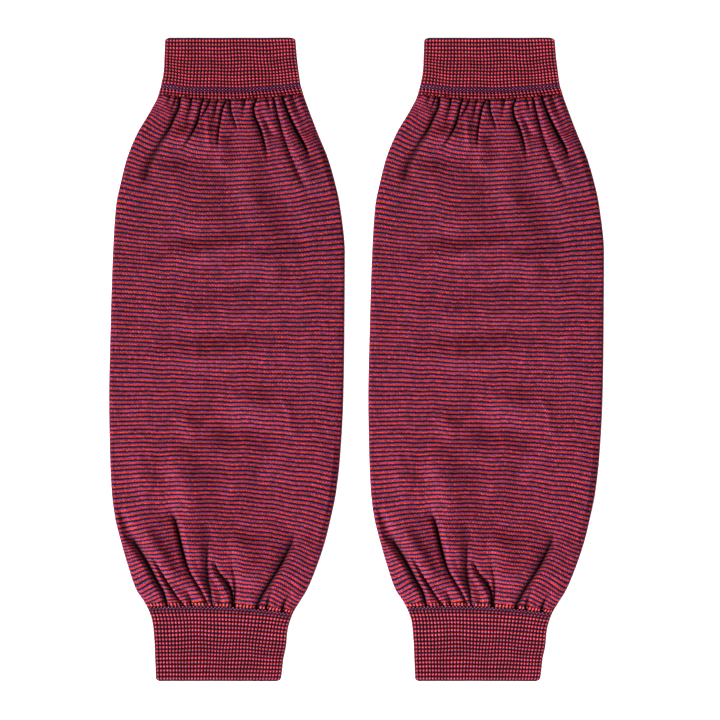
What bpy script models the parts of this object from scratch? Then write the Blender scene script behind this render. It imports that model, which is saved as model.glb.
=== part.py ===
"""Pair of knitted sleeves lying flat side by side, front up, wrist ends towards -Y.

Each sleeve is three knitted tubes sewn end to end: a loose body gathered at both
ends, a ribbed upper cuff and a ribbed wrist cuff. Every tube is a cloth wall that
goes all the way round, flattened so that its front layer lies on its back layer,
with open mouths and a flat underside at z = 0.

Tables and sizes are in millimetres; Blender gets metres. A point on a sleeve is
named by its station, the distance above the wrist mouth, and by its share across
the front layer, from -1 at the left side fold to 1 at the right one.
"""

import math

import bmesh
import bpy
import numpy as np

MM = 0.001

LENGTH = 385.8  # one sleeve, wrist mouth to upper mouth
PAIR_PITCH = 155.4  # between the middles of the two sleeves
BODY_WALL = 1.5
CUFF_WALL = 1.8
AIR = 0.4  # least air between the front layer and the back layer
SEAM_GAP = 0.3  # between a cuff's edge and the body's edge
SIDE_RADIUS = 2.15  # outer radius of the folded sides
RIB_RAISE = 0.5  # a rib's crest above the groove beside it
CUFF_RIBS = 46  # on the front layer and round both sides
MOUTH_CORNER = 3.2  # rounding of a mouth's corners, seen from above
MOUTH_PULL = 2.6  # how far in a corner's last ring lies
MOUTH_DIP = 0.45  # how much thinner the front layer's mouth edge is
SLOPE_STEP = 1.0  # distance either way over which the front layer's slope is read
SIDE_FADE = 0.09  # share of the front layer beside each side fold that stays smooth
PILLOW_POWER = 3  # how squarely the front layer's crown falls to its sides
MOUTH_POWER = 8  # the same for the dip of a mouth's edge
CREASE_START = 2.5  # how far beyond its seam a crease would begin
CREASE_RISE = 6.0  # distance over which it then deepens
CREASE_FADE = 1.6  # power of its fading towards the tip
CREASE_SHARP = 1.5  # power of its cross-section: 1 is a sharp V, 2 a round trough

# Outline of a sleeve from above: station, left edge, right edge.
OUTLINE = (
    (0.0, -42.6, 32.2),
    (18.6, -43.2, 34.8),
    (33.0, -44.4, 37.2),
    (40.2, -46.2, 39.4),
    (47.4, -49.6, 43.6),
    (54.6, -54.3, 48.0),
    (69.0, -59.4, 54.0),
    (83.4, -63.6, 58.8),
    (97.8, -67.2, 62.4),
    (112.2, -69.1, 65.4),
    (133.8, -70.2, 67.9),
    (170.0, -70.8, 69.9),
    (205.0, -70.1, 70.5),
    (256.2, -68.5, 70.8),
    (285.0, -66.6, 67.9),
    (299.4, -63.7, 64.8),
    (313.8, -60.0, 60.6),
    (328.2, -54.0, 54.7),
    (342.6, -45.6, 49.2),
    (351.0, -41.4, 46.2),
    (359.0, -39.4, 43.9),
    (371.4, -37.8, 42.5),
    (LENGTH, -37.1, 41.0),
)

# Height of the front layer above the table along the sleeve's middle: station, crown.
CROWN = (
    (0.0, 4.5),
    (30.0, 4.7),
    (45.0, 4.9),
    (54.0, 6.3),
    (66.0, 6.7),
    (95.0, 6.3),
    (130.0, 5.6),
    (190.0, 5.1),
    (250.0, 5.2),
    (295.0, 5.9),
    (325.0, 6.6),
    (340.0, 6.4),
    (349.0, 4.9),
    (365.0, 4.7),
    (LENGTH, 4.5),
)

# The two seams: station at mid-width, change to the right edge, bow at both edges.
WRIST_SEAM = {"mid": 45.0, "tilt": -1.8, "bow": -2.1}
UPPER_SEAM = {"mid": 348.6, "tilt": 0.3, "bow": 3.0}

# Creases that run from a seam into the body: share across at the seam, half way and
# at the tip, reach from the seam, depth, half-width at the seam and at the tip.
CREASE_COLUMNS = ("root", "middle", "tip", "reach", "depth", "root_width", "tip_width")
WRIST_CREASES = (
    (-0.77, -0.77, -0.92, 42.0, 3.4, 1.7, 3.4),
    (-0.54, -0.61, -0.72, 26.0, 3.0, 1.5, 2.2),
    (-0.36, -0.36, -0.36, 9.0, 2.2, 1.3, 1.6),
    (-0.18, -0.39, -0.45, 52.0, 3.6, 1.5, 2.6),
    (-0.08, -0.16, -0.18, 42.0, 2.4, 1.8, 4.5),
    (0.23, 0.10, 0.02, 26.0, 3.2, 1.7, 2.4),
    (0.34, 0.33, 0.32, 9.0, 2.0, 1.3, 1.6),
    (0.44, 0.56, 0.70, 44.0, 3.4, 1.8, 3.2),
    (0.62, 0.64, 0.66, 14.0, 2.4, 1.3, 1.8),
    (0.84, 0.86, 0.88, 12.0, 2.6, 1.4, 1.8),
)
UPPER_CREASES = (
    (-0.71, -0.69, -0.80, 42.0, 3.2, 1.5, 2.6),
    (-0.55, -0.53, -0.51, 11.0, 2.6, 1.4, 1.8),
    (-0.39, -0.37, -0.48, 32.0, 3.2, 1.4, 2.0),
    (-0.25, -0.32, -0.37, 14.0, 2.6, 1.3, 1.6),
    (-0.15, -0.13, -0.11, 22.0, 1.6, 1.4, 2.4),
    (-0.03, -0.10, -0.11, 20.0, 3.2, 1.4, 1.6),
    (0.00, 0.05, 0.12, 17.0, 3.0, 1.4, 1.8),
    (0.19, 0.18, 0.18, 9.0, 2.0, 1.3, 1.6),
    (0.36, 0.36, 0.44, 34.0, 3.2, 1.6, 3.2),
    (0.53, 0.55, 0.57, 9.0, 2.2, 1.2, 1.4),
    (0.64, 0.66, 0.72, 46.0, 3.0, 1.3, 3.0),
    (0.78, 0.82, 0.88, 36.0, 3.0, 1.3, 2.2),
)

# Soft hollows and rises of the body's front layer away from the gathers: x and
# station of the middle, half-length, half-width, direction in degrees from +X, rise.
WAVE_COLUMNS = ("x", "station", "half_length", "half_width", "angle", "rise")
SOFT_WAVES = (
    (-4.0, 265.0, 16.0, 5.0, 12.0, -0.9),
    (-20.0, 277.0, 8.0, 5.0, 0.0, 0.7),
    (20.0, 245.5, 17.0, 6.0, 12.0, 0.8),
    (34.5, 242.0, 6.0, 4.0, 40.0, -0.6),
    (24.0, 283.0, 20.0, 5.5, 110.0, -1.0),
    (-11.0, 288.0, 12.0, 7.0, 60.0, -0.6),
    (5.0, 200.0, 27.0, 4.5, 0.0, -0.7),
    (-18.0, 187.5, 10.0, 5.0, 0.0, 0.5),
    (16.0, 158.5, 12.0, 5.0, -5.0, 0.9),
    (-8.0, 151.0, 11.0, 5.0, -35.0, -0.8),
    (-8.0, 143.5, 24.0, 3.5, 0.0, -0.5),
    (-36.0, 125.0, 16.0, 6.0, 100.0, 0.8),
    (-29.0, 104.0, 20.0, 5.0, 105.0, 0.8),
    (11.0, 113.0, 13.0, 4.5, 70.0, -0.8),
    (6.0, 82.0, 13.0, 6.0, 90.0, 0.7),
)

BODY_COLUMNS = {"front": 48, "side": 3, "under": 8}
CUFF_LINING_COLUMNS = {"front": 22, "side": 3, "under": 8}
CUFF_UNDER_COLUMNS = 8
# Rings of the body, as distances from the nearer seam and shares between them.
WRIST_RINGS = (0.0, 3.0, 7.5, 13.0, 20.0, 29.0, 40.0, 53.0)
UPPER_RINGS = (0.0, 3.0, 7.0, 12.0, 18.0, 26.0, 36.0, 48.0)
MIDDLE_RINGS = 8
# Rings of a cuff: distances from its mouth, then shares of the rest up to its seam.
MOUTH_RINGS = (0.0, 0.9, MOUTH_CORNER)
CUFF_SHARES = (0.36, 0.7, 1.0)


def table_column(rows, column):
    return np.array([row[column] for row in rows], float)


def smooth_curve(stations, values):
    """A curve through a table's points that never swings past them."""
    step = np.diff(stations)
    rise = np.diff(values) / step
    slope = np.zeros(len(values))
    same_way = rise[:-1] * rise[1:] > 0
    before, after = 2 * step[1:] + step[:-1], step[1:] + 2 * step[:-1]
    with np.errstate(divide="ignore", invalid="ignore"):
        mean = (before + after) / (before / rise[:-1] + after / rise[1:])
    slope[1:-1] = np.where(same_way, mean, 0.0)
    slope[0], slope[-1] = rise[0], rise[-1]

    def value(at):
        at = np.clip(np.asarray(at, float), stations[0], stations[-1])
        i = np.clip(np.searchsorted(stations, at) - 1, 0, len(step) - 1)
        t = (at - stations[i]) / step[i]
        s = 1 - t
        return (
            values[i] * (1 + 2 * t) * s * s
            + values[i + 1] * (3 - 2 * t) * t * t
            + step[i] * t * s * (slope[i] * s - slope[i + 1] * t)
        )

    return value


outline_stations = table_column(OUTLINE, 0)
left_edge = smooth_curve(outline_stations, table_column(OUTLINE, 1))
right_edge = smooth_curve(outline_stations, table_column(OUTLINE, 2))
crown_height = smooth_curve(table_column(CROWN, 0), table_column(CROWN, 1))


def seam_station(seam, share):
    """Station of a seam at a share across the sleeve."""
    return seam["mid"] + seam["tilt"] * share + seam["bow"] * share**2


def soft_step(t):
    t = np.clip(t, 0.0, 1.0)
    return t * t * (3 - 2 * t)


def middle_of(station):
    return (left_edge(station) + right_edge(station)) / 2


def half_front(station):
    """Half the width of the front layer, between the tops of its side folds."""
    return (right_edge(station) - left_edge(station)) / 2 - SIDE_RADIUS


def side_slant(station):
    """Extra thickness of a level cut across a side where the outline slants, in walls."""
    wider = half_front(station + SLOPE_STEP) - half_front(station - SLOPE_STEP)
    return np.hypot(1.0, wider / (2 * SLOPE_STEP)) - 1.0


def pillow(share, station):
    """Height of the front layer before any crease: highest along the middle."""
    side = 2 * SIDE_RADIUS
    return side + (crown_height(station) - side) * (1 - np.abs(share) ** PILLOW_POWER)


def crease_depth(share, station, seam, inward, rows):
    """How far the creases of one seam cut into the front layer."""
    away = inward * (station - seam_station(seam, share))
    total = np.zeros(np.broadcast(share, station).shape)
    for row in rows:
        crease = dict(zip(CREASE_COLUMNS, row))
        t = np.clip(away / crease["reach"], 0.0, 1.0)
        line = (
            crease["root"] * (1 - t) * (1 - 2 * t)
            + crease["middle"] * 4 * t * (1 - t)
            + crease["tip"] * t * (2 * t - 1)
        )
        width = crease["root_width"] * (1 - t) + crease["tip_width"] * t
        across = np.abs(share - line) * half_front(station) / width
        along = soft_step((away + CREASE_START) / CREASE_RISE) * (1 - t**CREASE_FADE)
        cut = crease["depth"] * along * np.exp(-(across**CREASE_SHARP))
        total = np.maximum(total, cut)
    return total


def wave_rise(x, station):
    total = np.zeros(np.broadcast(x, station).shape)
    for row in SOFT_WAVES:
        wave = dict(zip(WAVE_COLUMNS, row))
        turn = math.radians(wave["angle"])
        dx, dy = x - wave["x"], station - wave["station"]
        along = (dx * math.cos(turn) + dy * math.sin(turn)) / wave["half_length"]
        across = (dy * math.cos(turn) - dx * math.sin(turn)) / wave["half_width"]
        total = total + wave["rise"] * np.exp(-(along**2) - across**2)
    return total


def body_front(share, station):
    """Height of the body's front layer above the table."""
    x = middle_of(station) + share * half_front(station)
    inside = soft_step((1 - np.abs(share)) / SIDE_FADE)
    height = pillow(share, station)
    cut = np.maximum(
        crease_depth(share, station, WRIST_SEAM, 1, WRIST_CREASES),
        crease_depth(share, station, UPPER_SEAM, -1, UPPER_CREASES),
    )
    height = height + inside * (wave_rise(x, station) - cut)
    return np.maximum(height, 2 * BODY_WALL + AIR)


def body_lining(share, station):
    """Underside of the body's front layer, the wall's thickness away on any slope."""
    step = SLOPE_STEP / half_front(station)
    across = body_front(share + step, station) - body_front(share - step, station)
    along = body_front(share, station + SLOPE_STEP) - body_front(share, station - SLOPE_STEP)
    steepness = np.hypot(across, along) / (2 * SLOPE_STEP)
    drop = BODY_WALL * np.sqrt(1 + steepness**2)
    return np.maximum(body_front(share, station) - drop, BODY_WALL + AIR)


def ring_plan(front, side, under):
    """Points round a tube: the part they lie on, and where on it.

    They run up the left side fold, across the front layer, down the right side
    fold and back along the underside. Side points are named by an angle.
    """
    plan = [("left", math.radians(270 - 180 * k / side)) for k in range(side)]
    plan += [("front", -1 + 2 * k / front) for k in range(front + 1)]
    plan += [("right", math.radians(90 - 180 * k / side)) for k in range(1, side + 1)]
    plan += [("under", 1 - 2 * k / under) for k in range(1, under)]
    return plan


def ribbed_plan(half):
    """Points round a ribbed cuff, two to a rib, and how far each is raised."""
    side_length = math.pi * SIDE_RADIUS
    total = 2 * side_length + 2 * half
    plan, raised = [], []
    for k in range(2 * CUFF_RIBS + 1):
        at = total * k / (2 * CUFF_RIBS)
        if at < side_length:
            plan.append(("left", math.radians(270 - 180 * at / side_length)))
        elif at <= total - side_length:
            plan.append(("front", (at - side_length) / half - 1))
        else:
            down = at - (total - side_length)
            plan.append(("right", math.radians(90 - 180 * down / side_length)))
        raised.append(0.0 if k in (0, 2 * CUFF_RIBS) else RIB_RAISE / 2 * (-1) ** (k + 1))
    plan += [("under", 1 - 2 * k / CUFF_UNDER_COLUMNS) for k in range(1, CUFF_UNDER_COLUMNS)]
    raised += [0.0] * (CUFF_UNDER_COLUMNS - 1)
    return plan, raised


def ring(plan, station_at, front, wall=0.0, raised=None, pull=0.0):
    """One ring of points in millimetres, in the sleeve's own frame.

    station_at gives the station at a share across, and front the height of the
    front layer. The ring lies a wall's thickness inside the cloth's outer face,
    raised lifts single points off it, and pull draws both sides in, for a
    mouth's rounded corners.
    """
    points = []
    for k, (part, value) in enumerate(plan):
        lift = raised[k] if raised else 0.0
        share = {"left": -1.0, "right": 1.0}.get(part, value)
        station = float(station_at(share))
        half = float(half_front(station) - wall * side_slant(station)) - pull
        middle = float(middle_of(station))
        if part in ("left", "right"):
            way = -1 if part == "left" else 1
            reach = SIDE_RADIUS - wall + lift
            x = middle + way * half + reach * math.cos(value)
            z = max(0.0, SIDE_RADIUS + reach * math.sin(value))
        elif part == "front":
            x = middle + share * half
            z = float(front(share, station)) + lift
        else:
            x = middle + share * half
            z = wall
        points.append((x, station - LENGTH / 2, z))
    return points


def add_ring(bm, points):
    return [bm.verts.new((x * MM, y * MM, z * MM)) for x, y, z in points]


def skin(bm, rings):
    for lower, upper in zip(rings, rings[1:]):
        for k in range(len(lower)):
            n = (k + 1) % len(lower)
            bm.faces.new((lower[k], lower[n], upper[n], upper[k]))


def round_places(plan):
    """How far round the tube each point of a plan lies: 0 to 1 up the left fold,
    to 2 across the front, to 3 down the right fold and to 4 along the underside."""
    places = []
    for part, value in plan:
        if part == "left":
            places.append((270 - math.degrees(value)) / 180)
        elif part == "front":
            places.append(1 + (value + 1) / 2)
        elif part == "right":
            places.append(2 + (90 - math.degrees(value)) / 180)
        else:
            places.append(3 + (1 - value) / 2)
    return places + [4.0]


def close_edge(bm, outer, inner, outer_plan, inner_plan):
    """Fills the cloth's edge between two rings that may have different counts."""
    outer_at, inner_at = round_places(outer_plan), round_places(inner_plan)
    i = j = 0
    while i < len(outer) or j < len(inner):
        a, b = outer[i % len(outer)], inner[j % len(inner)]
        step_outer = j == len(inner) or (i < len(outer) and outer_at[i + 1] <= inner_at[j + 1])
        if step_outer:
            i += 1
            bm.faces.new((a, b, outer[i % len(outer)]))
        else:
            j += 1
            bm.faces.new((a, b, inner[j % len(inner)]))


def finish_mesh(bm, name):
    bmesh.ops.recalc_face_normals(bm, faces=bm.faces)
    mesh = bpy.data.meshes.new(name)
    bm.to_mesh(mesh)
    bm.free()
    return mesh


def body_stations():
    """Shares between the two seams at which the body has a ring."""
    span = UPPER_SEAM["mid"] - WRIST_SEAM["mid"]
    low = [d / span for d in WRIST_RINGS]
    high = [1 - d / span for d in reversed(UPPER_RINGS)]
    middle = [low[-1] + (high[0] - low[-1]) * k / MIDDLE_RINGS for k in range(1, MIDDLE_RINGS)]
    return low + middle + high


def body_mesh():
    plan = ring_plan(**BODY_COLUMNS)
    bm = bmesh.new()
    outer, inner = [], []
    for between in body_stations():

        def station_at(share, between=between):
            low = seam_station(WRIST_SEAM, share) + SEAM_GAP / 2
            high = seam_station(UPPER_SEAM, share) - SEAM_GAP / 2
            return low + (high - low) * between

        outer.append(add_ring(bm, ring(plan, station_at, body_front)))
        inner.append(add_ring(bm, ring(plan, station_at, body_lining, BODY_WALL)))
    skin(bm, outer)
    skin(bm, inner)
    skin(bm, [outer[0], inner[0]])
    skin(bm, [outer[-1], inner[-1]])
    return finish_mesh(bm, "sleeve_body")


def cuff_mesh(name, seam, mouth):
    """A ribbed cuff from its seam to its mouth, with a plain inside."""
    mid_station = (seam["mid"] + mouth) / 2
    outer_plan, raised = ribbed_plan(float(half_front(mid_station)))
    inner_plan = ring_plan(**CUFF_LINING_COLUMNS)
    inward = 1 if mouth < seam["mid"] else -1
    deepest = MOUTH_RINGS[-1]
    stops = [(d, 0.0) for d in MOUTH_RINGS] + [(deepest, s) for s in CUFF_SHARES]
    bm = bmesh.new()
    outer, inner = [], []
    for from_mouth, share_up in stops:

        def station_at(share, from_mouth=from_mouth, share_up=share_up):
            start = mouth + inward * from_mouth
            end = seam_station(seam, share) - inward * SEAM_GAP / 2
            return start + (end - start) * share_up

        left = max(0.0, 1 - from_mouth / MOUTH_CORNER) if share_up == 0 else 0.0
        pull = MOUTH_PULL * (1 - math.sqrt(1 - left**2))
        dip = MOUTH_DIP * left**2

        def front(share, station, dip=dip):
            return pillow(share, station) - dip * (1 - np.abs(share) ** MOUTH_POWER)

        def lining(share, station, front=front):
            return front(share, station) - CUFF_WALL

        outer.append(add_ring(bm, ring(outer_plan, station_at, front, 0.0, raised, pull)))
        inner.append(add_ring(bm, ring(inner_plan, station_at, lining, CUFF_WALL, None, pull)))
    skin(bm, outer)
    skin(bm, inner)
    close_edge(bm, outer[0], inner[0], outer_plan, inner_plan)
    close_edge(bm, outer[-1], inner[-1], outer_plan, inner_plan)
    return finish_mesh(bm, name)


def cloth(name, colour):
    material = bpy.data.materials.new(name)
    material.use_nodes = True
    shader = material.node_tree.nodes["Principled BSDF"]
    shader.inputs["Base Color"].default_value = (*colour, 1.0)
    shader.inputs["Roughness"].default_value = 0.9
    shader.inputs["Metallic"].default_value = 0.0
    return material


def add_object(name, mesh, parent=None):
    thing = bpy.data.objects.new(name, mesh)
    bpy.context.scene.collection.objects.link(thing)
    thing.parent = parent
    return thing


def main():
    for thing in list(bpy.data.objects):
        bpy.data.objects.remove(thing)
    body = body_mesh()
    wrist = cuff_mesh("wrist_cuff", WRIST_SEAM, 0.0)
    upper = cuff_mesh("upper_cuff", UPPER_SEAM, LENGTH)
    body.materials.append(cloth("striped_knit", (0.205, 0.027, 0.050)))
    rib = cloth("rib_knit", (0.175, 0.024, 0.042))
    wrist.materials.append(rib)
    upper.materials.append(rib)
    for side, way in (("left", -1), ("right", 1)):
        sleeve = add_object(f"{side}_sleeve", None)
        sleeve.location = (way * PAIR_PITCH / 2 * MM, 0.0, 0.0)
        for label, mesh in (("body", body), ("wrist_cuff", wrist), ("upper_cuff", upper)):
            add_object(f"{side}_{label}", mesh, sleeve)


main()
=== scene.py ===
"""The looks of a pair of knitted sleeves that lie flat side by side.

Each sleeve's body is a striped knit gathered at both ends, and each cuff is one by
one rib with bead-like stitches. Both are meshed stitch row by stitch row: a tube's
cross-sections are laid out from the same outline, seams and creases as its solid,
the rows and columns are then spaced evenly along the cloth, as a knit's are, and
the yarn's relief is raised along the normals.

Tables and sizes are in millimetres; Blender gets metres. A point on a sleeve is
named by its station, the distance above the wrist mouth, and by its share across
the front layer, from -1 at the left side fold to 1 at the right one.
"""

import math

import bpy
import numpy as np
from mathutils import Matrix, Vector


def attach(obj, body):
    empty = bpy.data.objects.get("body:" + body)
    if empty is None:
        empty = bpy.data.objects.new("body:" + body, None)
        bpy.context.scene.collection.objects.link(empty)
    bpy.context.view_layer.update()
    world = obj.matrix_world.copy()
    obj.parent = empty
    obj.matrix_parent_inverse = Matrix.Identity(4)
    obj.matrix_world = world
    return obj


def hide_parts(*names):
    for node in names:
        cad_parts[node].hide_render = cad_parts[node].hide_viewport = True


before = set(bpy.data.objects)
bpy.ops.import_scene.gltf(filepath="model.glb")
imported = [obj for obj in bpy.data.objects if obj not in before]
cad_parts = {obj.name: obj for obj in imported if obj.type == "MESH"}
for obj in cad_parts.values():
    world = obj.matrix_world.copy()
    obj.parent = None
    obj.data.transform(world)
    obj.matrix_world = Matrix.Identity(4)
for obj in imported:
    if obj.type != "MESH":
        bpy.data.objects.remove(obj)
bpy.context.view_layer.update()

MM = 0.001

# Sizes shared with the solids
LENGTH = 385.8
PAIR_PITCH = 155.4
SIDE_RADIUS = 2.15
PILLOW_POWER = 3
WRIST_SEAM = {"mid": 45.0, "tilt": -1.8, "bow": -2.1}
UPPER_SEAM = {"mid": 348.6, "tilt": 0.3, "bow": 3.0}


def named(columns, rows):
    """A table's rows, each as a dictionary of its columns."""
    return tuple(dict(zip(columns, row)) for row in rows)


# Outline of a sleeve from above: station, left edge, right edge.
OUTLINE = (
    (0.0, -42.6, 32.2),
    (18.6, -43.2, 34.8),
    (33.0, -44.4, 37.2),
    (40.2, -46.2, 39.4),
    (47.4, -49.6, 43.6),
    (54.6, -54.3, 48.0),
    (69.0, -59.4, 54.0),
    (83.4, -63.6, 58.8),
    (97.8, -67.2, 62.4),
    (112.2, -69.1, 65.4),
    (133.8, -70.2, 67.9),
    (170.0, -70.8, 69.9),
    (205.0, -70.1, 70.5),
    (256.2, -68.5, 70.8),
    (285.0, -66.6, 67.9),
    (299.4, -63.7, 64.8),
    (313.8, -60.0, 60.6),
    (328.2, -54.0, 54.7),
    (342.6, -45.6, 49.2),
    (351.0, -41.4, 46.2),
    (359.0, -39.4, 43.9),
    (371.4, -37.8, 42.5),
    (LENGTH, -37.1, 41.0),
)

# Height of the front layer above the table along the sleeve's middle: station, crown.
CROWN = (
    (0.0, 4.5),
    (30.0, 4.7),
    (45.0, 4.9),
    (54.0, 6.5),
    (66.0, 6.9),
    (95.0, 6.4),
    (130.0, 5.6),
    (190.0, 5.1),
    (250.0, 5.2),
    (295.0, 5.9),
    (325.0, 6.5),
    (340.0, 6.5),
    (349.0, 6.4),
    (356.0, 5.0),
    (368.0, 4.7),
    (LENGTH, 4.5),
)

# Creases that run from a seam into the body. A line has the station and x of its points,
# from the seam to the tip. Its cut has a depth and a half-width at the seam, half way and
# at the tip. On the left and on the right of the cut the cloth rises to a rounded ridge,
# given by its height and its distance from the cut. The jump is how far the knit rows
# are out of step across the crease, because part of them is folded out of sight.
CREASE_COLUMNS = ("line", "jump", "depth", "width", "left", "right")
WRIST_CREASES = named(CREASE_COLUMNS, (
    (((45, -35.7), (53.4, -38.1), (60.6, -42.3), (68.4, -46.3), (77.4, -51.6), (94, -62.0)),
     3.4, (3.4, 3.4, 2.2), (1.1, 1.7, 3.2), (1.1, 3.0), (1.8, 2.2)),
    (((45.6, -26.1), (53.4, -32.1), (60.6, -36.7), (69, -41.5), (76.8, -45.7)),
     1.6, (2.6, 2.8, 0.6), (0.7, 0.8, 1.0), (0.6, 1.2), (1.4, 2.6)),
    (((45.6, -21.3), (51.6, -22.5), (57, -25.3)),
     0.5, (2.8, 1.6, 0.4), (1.0, 1.5, 1.8), (0.8, 2.4), (0.9, 1.5)),
    (((46.4, -11.5), (55.8, -16.5), (65.4, -22.3), (73.8, -25.3), (84, -27.7), (94, -30.1),
      (106, -33.6)),
     2.2, (2.2, 3.6, 2.6), (0.7, 1.2, 1.6), (1.3, 5.0), (2.6, 2.8)),
    (((46.2, -8.7), (53.4, -10.2), (61.8, -12.2), (72.6, -12.2), (86, -11.6)),
     0.6, (3.0, 2.2, 0.9), (1.2, 1.8, 2.6), (1.9, 4.2), (1.5, 2.0)),
    (((45.8, 3.3), (53.4, 2.6), (60.6, -1.8), (66.6, -6.0), (75.6, -9.0)),
     0.2, (3.2, 2.6, 1.2), (1.1, 1.3, 1.0), (2.4, 2.0), (0.8, 2.0)),
    (((45.6, 4.2), (53.4, 5.0), (59.4, 5.1), (67.8, 3.8), (77.4, 2.6)),
     0.3, (3.2, 1.6, 0.4), (1.0, 1.2, 1.2), (0.2, 2.0), (1.0, 2.2)),
    (((45, 17.9), (53.4, 22.3), (60.6, 26.7), (67.8, 31.1), (75.6, 35.3), (82.8, 38.9), (94, 42.4)),
     3.0, (3.0, 3.0, 1.4), (1.4, 1.8, 2.8), (1.7, 4.0), (1.3, 3.2)),
    (((44.4, 23.7), (52.2, 26.1), (59.4, 28.7)),
     0.6, (2.8, 1.4, 0.3), (0.9, 1.1, 1.4), (0.5, 1.5), (0.9, 2.0)),
    (((43.8, 33.3), (48.6, 35.1), (55, 39.6)),
     0.5, (2.8, 1.8, 0.4), (0.8, 1.0, 1.4), (0.7, 1.4), (0.4, 2.5)),
))

UPPER_CREASES = named(CREASE_COLUMNS, (
    (((350.4, -27.9), (344.4, -28.5), (338.4, -31.3), (330.6, -34.6), (322.8, -39.7),
      (313.8, -44.2), (302, -48.6), (296, -50.6)),
     2.0, (3.0, 2.5, 1.6), (0.9, 1.7, 3.0), (1.3, 4.4), (1.3, 3.4)),
    (((350.4, -30.3), (346.2, -31.5), (340, -33.5)),
     0.3, (1.8, 1.2, 0.4), (0.7, 0.8, 1.0), (0.3, 1.5), (0.2, 1.2)),
    (((350.4, -33.9), (346.5, -34.6), (342, -35.4)),
     0.2, (1.6, 0.8, 0.2), (0.8, 1.0, 1.2), (0.3, 1.5), (0.2, 1.2)),
    (((350.4, -21.2), (345.6, -21.6), (339.6, -22.8), (330, -24.4)),
     0.8, (3.2, 1.5, 0.4), (0.9, 1.3, 2.0), (1.0, 3.2), (0.5, 2.0)),
    (((350.4, -13.5), (343.8, -15.9), (337.8, -17.1), (330, -20.1), (323.4, -23.7), (316.5, -28.4)),
     2.0, (2.8, 3.2, 1.2), (0.7, 0.9, 0.9), (1.4, 1.2), (0.8, 2.4)),
    (((348.6, -9.9), (342.6, -12.3), (336.8, -16.6)),
     0.3, (2.6, 2.6, 2.4), (0.9, 0.8, 0.7), (0.9, 1.1), (0.5, 2.0)),
    (((349, -5.4), (342.6, -6.9), (336, -7.7)),
     0.3, (2.6, 1.8, 0.5), (0.9, 1.0, 1.0), (0.7, 1.4), (0.4, 1.5)),
    (((349.8, 0.6), (342.6, -2.7), (336, -3.9), (328.2, -5.1), (316.5, -5.4)),
     0.5, (3.2, 2.4, 0.6), (0.8, 0.7, 0.7), (0.5, 1.8), (1.2, 2.4)),
    (((349.8, 1.8), (342.6, 2.2), (336, 4.4), (328, 7.4)),
     0.2, (3.2, 2.0, 0.5), (1.0, 1.0, 0.8), (0.7, 2.2), (1.0, 1.0)),
    (((349.2, 11.0), (343.2, 10.2), (336.5, 9.0)),
     0.2, (2.4, 1.4, 0.4), (0.9, 1.1, 1.2), (0.7, 0.9), (0.4, 2.0)),
    (((349.8, 18.3), (343.2, 15.9), (339, 16.5), (331.8, 19.5), (324, 21.9), (310.5, 25.2)),
     1.4, (2.8, 3.4, 1.0), (0.8, 1.1, 1.3), (1.0, 3.4), (1.3, 1.8)),
    (((349.8, 23.7), (346.2, 24.9), (341.5, 26.4)),
     0.3, (2.4, 1.6, 0.4), (0.7, 0.8, 0.8), (0.4, 1.5), (0.5, 1.5)),
    (((350.4, 27.9), (342, 29.7), (334.2, 31.6), (325.8, 34.2), (315, 38.2), (302, 44), (289, 51)),
     0.6, (3.0, 1.5, 0.6), (0.8, 1.4, 3.0), (1.0, 3.8), (1.8, 2.8)),
    (((350.4, 32.9), (343.8, 35.1), (334.2, 39.3), (325.8, 43.5), (319.2, 47.1), (310.5, 50)),
     2.3, (3.2, 3.8, 2.2), (0.9, 1.0, 1.2), (1.6, 2.4), (1.0, 2.6)),
    (((350.4, 38.7), (345, 41.2), (336, 44.4)),
     0.5, (1.8, 1.0, 0.4), (1.3, 1.8, 2.4), (0.6, 3.0), (0.4, 2.0)),
))

PRESSED = {"wrist": 0.6, "upper": 1.0}  # share of a ridge's height left at each cuff's edge
PRESS_REACH = 5.0  # distance from a cuff over which its press on the ridges fades
CREASE_FADE = 0.25  # share of a crease's length over which its tip runs out
SIDE_FADE = 0.03  # share of the width at each side fold in which the relief dies out
RIGHT_FULLNESS = 0.85  # share of the crown that the right side fold keeps; the left one lies flat
LOWEST_FRONT = 2.8  # the front layer's height where it lies on the back layer

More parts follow.
